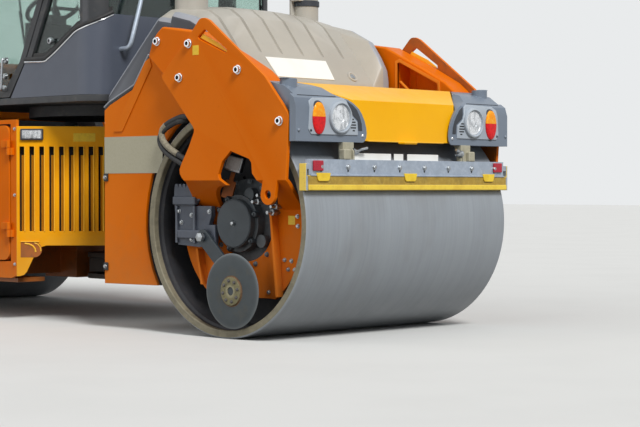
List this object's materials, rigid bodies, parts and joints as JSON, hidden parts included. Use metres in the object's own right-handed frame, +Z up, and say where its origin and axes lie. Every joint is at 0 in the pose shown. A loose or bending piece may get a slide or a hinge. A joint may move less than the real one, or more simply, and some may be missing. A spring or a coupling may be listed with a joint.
{
  "type": "tandem asphalt roller",
  "caption": "Articulated tandem road roller with smooth drums, yoke plates, engine hood, cab and an edge cutting disc.",
  "frame": {"origin": "on the road midway between the two drums' axles and between the machine's sides", "axes": "+X towards the end with the engine hood and the tail lamps, +Y towards the machine's right side, +Z up"},
  "size_m": [4.932, 1.708, 2.9499],
  "materials": {
    "orange_paint": "gloss",
    "amber_paint": "gloss",
    "slate_paint": "satin",
    "frame_black": "satin",
    "cast_grey": "satin",
    "tool_grey": "satin",
    "scraper_grey": "satin",
    "engine_iron": "matt",
    "drum_steel": "worn bright",
    "disc_steel": "worn dark",
    "hood_plastic": "satin",
    "lamp_grey": "satin",
    "roof_plastic": "satin",
    "cab_plastic": "matt",
    "seat_fabric": "woven",
    "lens_red": "clear gloss",
    "lens_clear": "clear gloss",
    "glass": "clear",
    "hose_rubber": "matt"
  },
  "bodies": {
    "rear_carriage": {"rear_frame": "frame_black", "rear_side_panels": "orange_paint", "rear_arms": "orange_paint", "rear_yokes": "orange_paint", "rear_drum_mounts": "cast_grey", "rear_cover": "amber_paint", "rear_lamp_housings": "lamp_grey", "rear_lamps": "lens_red", "rear_scrapers": "scraper_grey", "engine_block": "engine_iron", "cab_base": "frame_black", "cab_walls": "slate_paint", "cab_pillars": "frame_black", "cab_roof": "roof_plastic", "cab_glass": "glass", "seat": "seat_fabric", "steering_console": "cab_plastic", "edge_tool_holder": "tool_grey", "rear_hoses": "hose_rubber"},
    "engine_hood": {"hood": "hood_plastic", "hood_stacks": "hood_plastic"},
    "steering_knuckle": {"knuckle": "frame_black"},
    "front_carriage": {"front_frame": "frame_black", "front_side_panels": "orange_paint", "front_grilles": "amber_paint", "front_arms": "orange_paint", "front_yokes": "orange_paint", "front_drum_mounts": "cast_grey", "front_cover": "amber_paint", "front_lamp_housings": "lamp_grey", "front_lamps": "lens_clear", "front_scrapers": "scraper_grey", "front_tank": "orange_paint", "front_body": "frame_black", "front_hoses": "hose_rubber"},
    "drum_rear": {"rear_drum": "drum_steel"},
    "drum_front": {"front_drum": "drum_steel"},
    "door_left": {"cab_door_left": "frame_black", "door_glass_left": "glass"},
    "door_right": {"cab_door_right": "frame_black", "door_glass_right": "glass"},
    "bay_door_left": {"service_door_left": "orange_paint"},
    "bay_door_right": {"service_door_right": "orange_paint"},
    "cutter_arm": {"edge_arm": "tool_grey"},
    "cutter_disc": {"cutting_disc": "disc_steel"}
  },
  "joints": [
    {"name": "rear_drum_roll", "type": "hinge", "parent": "rear_carriage", "child": "drum_rear", "pos_m": [1.86, 0, 0.6], "axis": [0, 1, 0], "continuous": true},
    {"name": "steering", "type": "hinge", "parent": "rear_carriage", "child": "steering_knuckle", "pos_m": [0, 0, 0.305], "axis": [0, 0, 1], "range_deg": [-35, 35]},
    {"name": "oscillation", "type": "hinge", "parent": "steering_knuckle", "child": "front_carriage", "pos_m": [-0.25, 0, 0.305], "axis": [1, 0, 0], "range_deg": [-6, 6]},
    {"name": "front_drum_roll", "type": "hinge", "parent": "front_carriage", "child": "drum_front", "pos_m": [-1.86, 0, 0.6], "axis": [0, 1, 0], "continuous": true},
    {"name": "hood_lift", "type": "hinge", "parent": "rear_carriage", "child": "engine_hood", "pos_m": [1.714, 0, 1.36], "axis": [0, 1, 0], "range_deg": [0, 50]},
    {"name": "door_left_swing", "type": "hinge", "parent": "rear_carriage", "child": "door_left", "pos_m": [0.3, -0.757, 2.1], "axis": [0, 0, 1], "range_deg": [0, 95]},
    {"name": "door_right_swing", "type": "hinge", "parent": "rear_carriage", "child": "door_right", "pos_m": [0.3, 0.757, 2.1], "axis": [0, 0, -1], "range_deg": [0, 95]},
    {"name": "bay_door_left_swing", "type": "hinge", "parent": "front_carriage", "child": "bay_door_left", "pos_m": [0.02, -0.82, 0.75], "axis": [0, 0, 1], "range_deg": [0, 100]},
    {"name": "bay_door_right_swing", "type": "hinge", "parent": "front_carriage", "child": "bay_door_right", "pos_m": [0.02, 0.82, 0.75], "axis": [0, 0, -1], "range_deg": [0, 100]},
    {"name": "cutter_lift", "type": "hinge", "parent": "rear_carriage", "child": "cutter_arm", "pos_m": [1.645, -0.75, 0.525], "axis": [0, 1, 0], "range_deg": [-20, 11]},
    {"name": "cutter_disc_roll", "type": "hinge", "parent": "cutter_arm", "child": "cutter_disc", "pos_m": [1.943, -0.822, 0.252], "axis": [0, 1, 0], "continuous": true}
  ]
}
